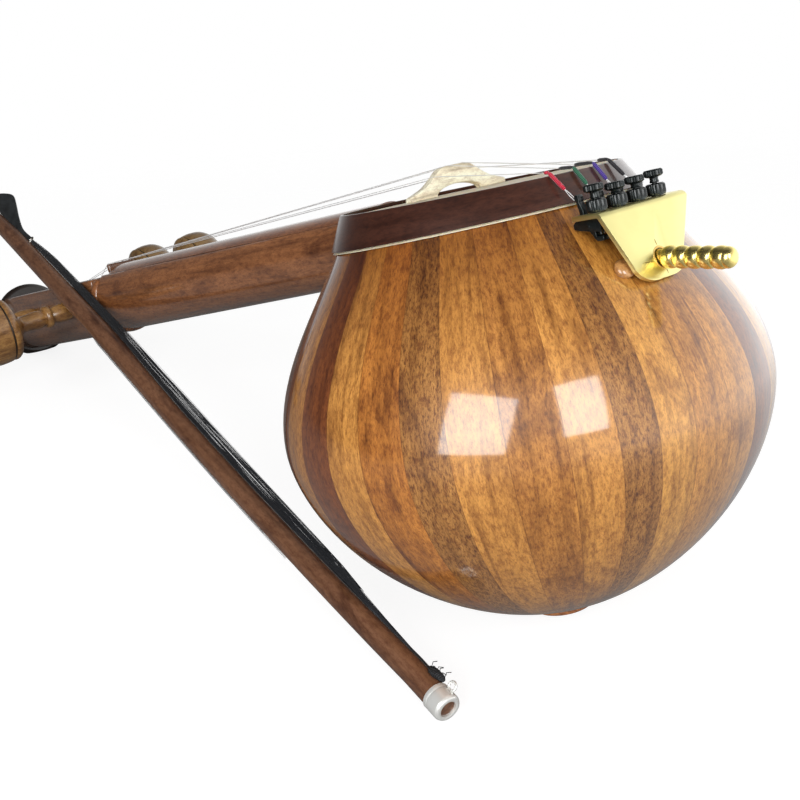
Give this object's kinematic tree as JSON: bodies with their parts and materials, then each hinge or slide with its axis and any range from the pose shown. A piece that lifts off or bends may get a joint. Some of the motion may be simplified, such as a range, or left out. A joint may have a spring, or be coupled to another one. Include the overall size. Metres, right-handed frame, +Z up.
{
  "type": "kamancheh",
  "caption": "Bowed spike fiddle with a staved bowl, skin top, turned neck, pegbox, tail bracket with fine tuners and a beaded spike, lying on its back with its bow leaning on a peg.",
  "frame": {"origin": "on the table under the middle of the whole set's bounding box", "axes": "+X from the head to the tail along the table, +Z up from the table. The instrument is pitched head down by 13.2 degrees in the XZ plane, and the bow is on its -Y side."},
  "size_m": [0.698, 0.2054, 0.1826],
  "materials": {
    "stave_light": "glossy varnish",
    "stave_dark": "glossy varnish",
    "walnut": "glossy varnish",
    "dark_walnut": "glossy varnish",
    "boxwood": "satin",
    "ebony": "polished",
    "pale_wood": "satin",
    "rawhide": "matte",
    "brass": "satin",
    "steel": "satin",
    "nickel": "polished",
    "black_metal": "satin black",
    "horsehair": "fibrous",
    "black_leather": "matte"
  },
  "bodies": {
    "instrument": {"bridge": "pale_wood", "fingerboard": "dark_walnut", "finial": "boxwood", "foot_disc": "walnut", "head_collar": "ebony", "neck": "walnut", "nut": "dark_walnut", "pegbox": "walnut", "rim_band": "dark_walnut", "skin": "rawhide", "stave_pair_01": "stave_light", "stave_pair_02": "stave_dark", "stave_pair_03": "stave_light", "stave_pair_04": "stave_light", "stave_pair_05": "stave_light", "stave_pair_06": "stave_dark", "stave_pair_07": "stave_light", "stave_pair_08": "stave_light", "stave_pair_09": "stave_dark", "stave_pair_10": "stave_light", "stave_pair_11": "stave_light", "stave_pair_12": "stave_dark", "stave_pair_13": "stave_light", "stave_pair_14": "stave_light", "stave_pair_15": "stave_light", "string_1": "steel", "string_2": "steel", "string_3": "steel", "string_4": "steel", "tail_bracket": "brass", "tail_button": "boxwood", "tail_spike": "brass", "tension_rod": "steel", "tuner_body_1": "black_metal", "tuner_body_2": "black_metal", "tuner_body_3": "black_metal", "tuner_body_4": "black_metal", "tuner_collar_1": "black_metal", "tuner_collar_2": "black_metal", "tuner_collar_3": "black_metal", "tuner_collar_4": "black_metal"},
    "peg_1": {"peg_1": "boxwood"},
    "peg_2": {"peg_2": "boxwood"},
    "peg_3": {"peg_3": "boxwood"},
    "peg_4": {"peg_4": "boxwood"},
    "tuner_screw_1": {"tuner_screw_1": "black_metal"},
    "tuner_lever_1": {"tuner_lever_1": "black_metal"},
    "tuner_screw_2": {"tuner_screw_2": "black_metal"},
    "tuner_lever_2": {"tuner_lever_2": "black_metal"},
    "tuner_screw_3": {"tuner_screw_3": "black_metal"},
    "tuner_lever_3": {"tuner_lever_3": "black_metal"},
    "tuner_screw_4": {"tuner_screw_4": "black_metal"},
    "tuner_lever_4": {"tuner_lever_4": "black_metal"},
    "bow": {"bow_binding": "horsehair", "bow_eye": "nickel", "bow_ferrule": "nickel", "bow_hair": "horsehair", "bow_ring": "nickel", "bow_stick": "dark_walnut", "bow_strap": "black_leather"}
  },
  "joints": [
    {"name": "peg_turn_1", "type": "hinge", "parent": "instrument", "child": "peg_1", "pos_m": [-0.13578, 0.00019, 0.065], "axis": [0.012, -0.9986, -0.051], "range_deg": [-360, 360]},
    {"name": "peg_turn_2", "type": "hinge", "parent": "instrument", "child": "peg_2", "pos_m": [-0.21561, 0.00019, 0.04628], "axis": [0.012, -0.9986, -0.051], "range_deg": [-360, 360]},
    {"name": "peg_turn_3", "type": "hinge", "parent": "instrument", "child": "peg_3", "pos_m": [-0.22827, 0.00019, 0.04331], "axis": [-0.0298, 0.9914, 0.1271], "range_deg": [-360, 360]},
    {"name": "peg_turn_4", "type": "hinge", "parent": "instrument", "child": "peg_4", "pos_m": [-0.14795, 0.00019, 0.06215], "axis": [-0.0298, 0.9914, 0.1271], "range_deg": [-360, 360]},
    {"name": "tuner_turn_1", "type": "hinge", "parent": "instrument", "child": "tuner_screw_1", "pos_m": [0.30783, -0.01776, 0.17059], "axis": [-0.2284, 0, 0.9736], "range_deg": [0, 1080]},
    {"name": "lever_tilt_1", "type": "hinge", "parent": "instrument", "child": "tuner_lever_1", "pos_m": [0.3059, -0.01776, 0.16613], "axis": [0, 1, 0], "range_deg": [0, 6]},
    {"name": "tuner_turn_2", "type": "hinge", "parent": "instrument", "child": "tuner_screw_2", "pos_m": [0.30783, -0.00746, 0.17059], "axis": [-0.2284, 0, 0.9736], "range_deg": [0, 1080]},
    {"name": "lever_tilt_2", "type": "hinge", "parent": "instrument", "child": "tuner_lever_2", "pos_m": [0.3059, -0.00746, 0.16613], "axis": [0, 1, 0], "range_deg": [0, 6]},
    {"name": "tuner_turn_3", "type": "hinge", "parent": "instrument", "child": "tuner_screw_3", "pos_m": [0.30783, 0.00284, 0.17059], "axis": [-0.2284, 0, 0.9736], "range_deg": [0, 1080]},
    {"name": "lever_tilt_3", "type": "hinge", "parent": "instrument", "child": "tuner_lever_3", "pos_m": [0.3059, 0.00284, 0.16613], "axis": [0, 1, 0], "range_deg": [0, 6]},
    {"name": "tuner_turn_4", "type": "hinge", "parent": "instrument", "child": "tuner_screw_4", "pos_m": [0.30783, 0.01314, 0.17059], "axis": [-0.2284, 0, 0.9736], "range_deg": [0, 1080]},
    {"name": "lever_tilt_4", "type": "hinge", "parent": "instrument", "child": "tuner_lever_4", "pos_m": [0.3059, 0.01314, 0.16613], "axis": [0, 1, 0], "range_deg": [0, 6]},
    {"name": "bow_lift", "type": "slide", "parent": "instrument", "child": "bow", "axis": [0, -0.6, 0.8], "range_m": [0, 0.15]}
  ],
  "couplings": [
    {"joint": "lever_tilt_1", "follows": "tuner_turn_1", "ratio": 0.0055556},
    {"joint": "lever_tilt_2", "follows": "tuner_turn_2", "ratio": 0.0055556},
    {"joint": "lever_tilt_3", "follows": "tuner_turn_3", "ratio": 0.0055556},
    {"joint": "lever_tilt_4", "follows": "tuner_turn_4", "ratio": 0.0055556}
  ]
}
